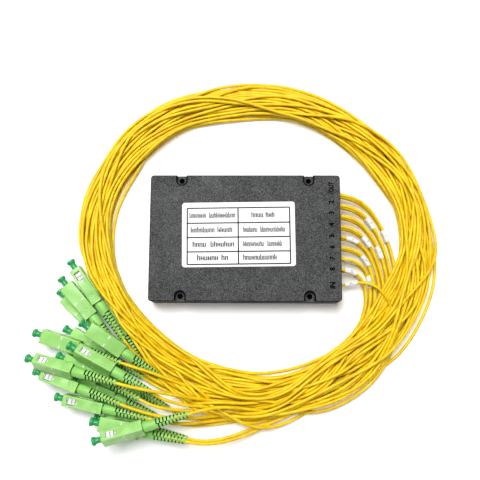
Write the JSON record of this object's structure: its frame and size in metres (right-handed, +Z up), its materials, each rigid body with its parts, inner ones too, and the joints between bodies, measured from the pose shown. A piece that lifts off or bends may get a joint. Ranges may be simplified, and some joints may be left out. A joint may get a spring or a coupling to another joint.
{
  "type": "plc fibre splitter",
  "caption": "Flat black fibre splitter box with a white label; yellow jacketed leads leave one end, lie round it in a loose ring and end in green square push-pull plugs.",
  "frame": {"origin": "centre of the box's bottom face, on the surface it lies on", "axes": "+X along the box towards the wall the leads leave, +Y across the box, +Z up out of the lid"},
  "size_m": [0.2581, 0.2349, 0.0294],
  "materials": {
    "case": "fine spark texture",
    "label": "satin",
    "screw": "blackened",
    "chip_case": "satin",
    "block": "matte",
    "fibre": "clear coated",
    "marker": "satin",
    "jacket": "satin",
    "plug_green": "satin",
    "grip_green": "satin"
  },
  "bodies": {
    "splitter": {"base_shell": "case", "lid": "case", "label": "label", "lid_screws": "screw", "chip_module": "chip_case", "fanout_block": "block", "fibre_loops": "fibre", "lead_markers": "marker", "cord_coil": "jacket", "lead_in": "jacket", "plug_in": "plug_green", "lead_01": "jacket", "plug_01": "plug_green", "lead_02": "jacket", "plug_02": "plug_green", "lead_03": "jacket", "plug_03": "plug_green", "lead_04": "jacket", "plug_04": "plug_green", "lead_05": "jacket", "plug_05": "plug_green", "lead_06": "jacket", "plug_06": "plug_green", "lead_07": "jacket", "plug_07": "plug_green", "lead_08": "jacket", "plug_08": "plug_green", "lead_09": "jacket", "plug_09": "plug_green", "lead_10": "jacket", "plug_10": "plug_green", "lead_11": "jacket", "plug_11": "plug_green", "lead_12": "jacket", "plug_12": "plug_green", "lead_13": "jacket", "plug_13": "plug_green", "lead_14": "jacket", "plug_14": "plug_green", "lead_15": "jacket", "plug_15": "plug_green", "lead_16": "jacket", "plug_16": "plug_green"},
    "grip_in": {"sleeve_in": "grip_green"},
    "grip_01": {"sleeve_01": "grip_green"},
    "grip_02": {"sleeve_02": "grip_green"},
    "grip_03": {"sleeve_03": "grip_green"},
    "grip_04": {"sleeve_04": "grip_green"},
    "grip_05": {"sleeve_05": "grip_green"},
    "grip_06": {"sleeve_06": "grip_green"},
    "grip_07": {"sleeve_07": "grip_green"},
    "grip_08": {"sleeve_08": "grip_green"},
    "grip_09": {"sleeve_09": "grip_green"},
    "grip_10": {"sleeve_10": "grip_green"},
    "grip_11": {"sleeve_11": "grip_green"},
    "grip_12": {"sleeve_12": "grip_green"},
    "grip_13": {"sleeve_13": "grip_green"},
    "grip_14": {"sleeve_14": "grip_green"},
    "grip_15": {"sleeve_15": "grip_green"},
    "grip_16": {"sleeve_16": "grip_green"}
  },
  "joints": [
    {"name": "pull_in", "type": "slide", "parent": "splitter", "child": "grip_in", "axis": [-0.9613, -0.2756, 0], "range_m": [0, 0.002]},
    {"name": "pull_01", "type": "slide", "parent": "splitter", "child": "grip_01", "axis": [-0.5704, 0.8147, 0.1045], "range_m": [0, 0.002]},
    {"name": "pull_02", "type": "slide", "parent": "splitter", "child": "grip_02", "axis": [-0.6552, 0.7537, 0.0523], "range_m": [0, 0.002]},
    {"name": "pull_03", "type": "slide", "parent": "splitter", "child": "grip_03", "axis": [-0.7314, 0.682, 0], "range_m": [0, 0.002]},
    {"name": "pull_04", "type": "slide", "parent": "splitter", "child": "grip_04", "axis": [-0.7912, 0.554, 0.2588], "range_m": [0, 0.002]},
    {"name": "pull_05", "type": "slide", "parent": "splitter", "child": "grip_05", "axis": [-0.8572, 0.515, 0], "range_m": [0, 0.002]},
    {"name": "pull_06", "type": "slide", "parent": "splitter", "child": "grip_06", "axis": [-0.9474, 0.3078, -0.0872], "range_m": [0, 0.002]},
    {"name": "pull_07", "type": "slide", "parent": "splitter", "child": "grip_07", "axis": [-0.8734, 0.4841, 0.0523], "range_m": [0, 0.002]},
    {"name": "pull_08", "type": "slide", "parent": "splitter", "child": "grip_08", "axis": [-0.8921, 0.4351, -0.1219], "range_m": [0, 0.002]},
    {"name": "pull_09", "type": "slide", "parent": "splitter", "child": "grip_09", "axis": [-0.9609, 0.2396, -0.1392], "range_m": [0, 0.002]},
    {"name": "pull_10", "type": "slide", "parent": "splitter", "child": "grip_10", "axis": [-0.9205, 0.3907, 0], "range_m": [0, 0.002]},
    {"name": "pull_11", "type": "slide", "parent": "splitter", "child": "grip_11", "axis": [-0.9363, 0.3224, -0.1392], "range_m": [0, 0.002]},
    {"name": "pull_12", "type": "slide", "parent": "splitter", "child": "grip_12", "axis": [-0.9758, 0.2074, -0.0698], "range_m": [0, 0.002]},
    {"name": "pull_13", "type": "slide", "parent": "splitter", "child": "grip_13", "axis": [-0.9816, 0.1908, 0], "range_m": [0, 0.002]},
    {"name": "pull_14", "type": "slide", "parent": "splitter", "child": "grip_14", "axis": [-0.9781, 0.2079, 0], "range_m": [0, 0.002]},
    {"name": "pull_15", "type": "slide", "parent": "splitter", "child": "grip_15", "axis": [-0.8829, 0.4695, 0], "range_m": [0, 0.002]},
    {"name": "pull_16", "type": "slide", "parent": "splitter", "child": "grip_16", "axis": [-0.5592, 0.829, 0], "range_m": [0, 0.002]}
  ]
}
